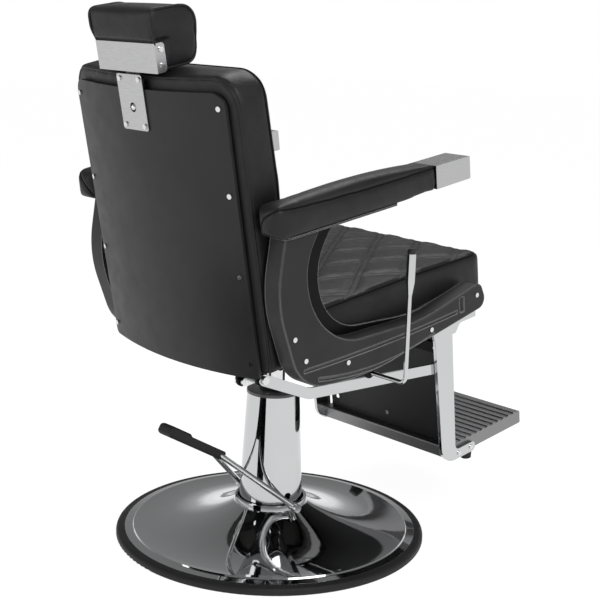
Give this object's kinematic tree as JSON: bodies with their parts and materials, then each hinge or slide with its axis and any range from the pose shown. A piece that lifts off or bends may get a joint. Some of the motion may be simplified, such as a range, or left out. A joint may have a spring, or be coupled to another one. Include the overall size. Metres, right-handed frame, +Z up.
{
  "type": "hydraulic barber chair",
  "caption": "Hydraulic barber chair: padded seat and arms, reclining back with sliding headrest, linked footrest, release lever and pump pedal on a round dished base.",
  "frame": {"origin": "on the floor, on the axis of the hydraulic column", "axes": "+Z up, +Y towards the back of the chair, +X towards the sitter's left hand"},
  "size_m": [0.682, 1.0214, 1.1243],
  "materials": {
    "black_leather": "soft semi-gloss, fine grain",
    "black_panel": "satin",
    "chrome": "polished",
    "brushed_steel": "brushed",
    "screw_steel": "polished",
    "black_painted_steel": "satin",
    "dark_cap": "satin",
    "cast_iron": "painted",
    "machined_steel": "machined",
    "black_rubber": "matte",
    "black_grip": "satin",
    "grey_aluminium": "ribbed, dark grey",
    "plywood": "raw"
  },
  "bodies": {
    "base": {"base_dome": "chrome", "base_rubber_rim": "black_rubber", "base_plate": "cast_iron", "pump_cylinder": "machined_steel", "pump_gland": "machined_steel", "pump_shroud": "chrome", "shroud_cap": "dark_cap", "ram_wiper_seal": "black_rubber", "pedal_pivot_bolts": "screw_steel"},
    "foot_pedal": {"pedal_fork": "chrome", "pedal_grip": "black_rubber"},
    "ram": {"ram": "machined_steel", "ram_piston": "machined_steel"},
    "seat": {"swivel_hub": "black_painted_steel", "seat_mount_plate": "black_painted_steel", "mount_plate_bolts": "screw_steel", "seat_frame": "black_painted_steel", "seat_board": "plywood", "seat_cushion": "black_leather", "side_plate_right": "black_painted_steel", "side_plate_left": "black_painted_steel", "side_panel_right": "black_panel", "side_panel_left": "black_panel", "side_panel_screws": "screw_steel", "arm_support_screws": "screw_steel", "arm_pad_right": "black_leather", "arm_pad_left": "black_leather", "arm_cap_right": "brushed_steel", "arm_cap_left": "brushed_steel", "footrest_brackets": "chrome", "lever_bracket": "black_painted_steel", "gas_spring_cylinder": "black_painted_steel", "hinge_pins": "screw_steel"},
    "backrest": {"back_frame": "black_painted_steel", "back_board": "plywood", "back_cushion": "black_leather", "back_panel": "black_panel", "back_panel_screws": "screw_steel", "headrest_plate": "brushed_steel", "headrest_plate_screws": "screw_steel", "detent_knob": "screw_steel", "headrest_guide": "black_painted_steel", "link_rear_bolts": "screw_steel"},
    "headrest": {"headrest_post": "brushed_steel", "headrest_bracket": "brushed_steel", "headrest_bracket_screws": "screw_steel", "headrest_pad": "black_leather"},
    "recline_links": {"link_bars": "chrome"},
    "footrest": {"footrest_leg_right": "chrome", "footrest_leg_left": "chrome", "footrest_crossbars": "black_painted_steel", "calf_panel": "black_panel", "foot_plate": "grey_aluminium", "footrest_screws": "screw_steel", "rubber_buffers": "black_rubber", "link_front_studs": "screw_steel"},
    "gas_rod": {"gas_spring_rod": "machined_steel"},
    "release_lever": {"release_lever": "chrome", "release_grip": "black_grip"}
  },
  "joints": [
    {"name": "ram_lift", "type": "slide", "parent": "base", "child": "ram", "axis": [0, 0, 1], "range_m": [-0.045, 0.115]},
    {"name": "seat_swivel", "type": "hinge", "parent": "ram", "child": "seat", "pos_m": [0, 0, 0.4], "axis": [0, 0, 1], "continuous": true},
    {"name": "backrest_recline", "type": "hinge", "parent": "seat", "child": "backrest", "pos_m": [0, 0.18614, 0.50702], "axis": [-1, 0, 0], "range_deg": [0, 40]},
    {"name": "footrest_swing", "type": "hinge", "parent": "seat", "child": "footrest", "pos_m": [0, -0.31911, 0.445], "axis": [-1, 0, 0], "range_deg": [0, 40]},
    {"name": "link_pivot", "type": "hinge", "parent": "backrest", "child": "recline_links", "pos_m": [0, 0.20218, 0.42302], "axis": [-1, 0, 0], "range_deg": [-40, 0]},
    {"name": "gas_rod_slide", "type": "slide", "parent": "seat", "child": "gas_rod", "axis": [0, -0.9895, 0.1444], "range_m": [0, 0.0669]},
    {"name": "headrest_height", "type": "slide", "parent": "backrest", "child": "headrest", "axis": [0, 0.185, 0.9827], "range_m": [0, 0.09]},
    {"name": "pedal_press", "type": "hinge", "parent": "base", "child": "foot_pedal", "pos_m": [0, 0.008, 0.081], "axis": [-1, 0, 0], "range_deg": [0, 22], "stiffness_Nm_per_rad": 12, "springref_deg": -20.05},
    {"name": "release_lever_pull", "type": "hinge", "parent": "seat", "child": "release_lever", "pos_m": [0, -0.043, 0.40705], "axis": [-1, 0, 0], "range_deg": [0, 12], "stiffness_Nm_per_rad": 2, "springref_deg": -11.46}
  ],
  "couplings": [
    {"joint": "footrest_swing", "follows": "backrest_recline", "ratio": 1},
    {"joint": "link_pivot", "follows": "backrest_recline", "ratio": -1},
    {"joint": "gas_rod_slide", "follows": "backrest_recline", "m_per_rad": 0.09504}
  ]
}
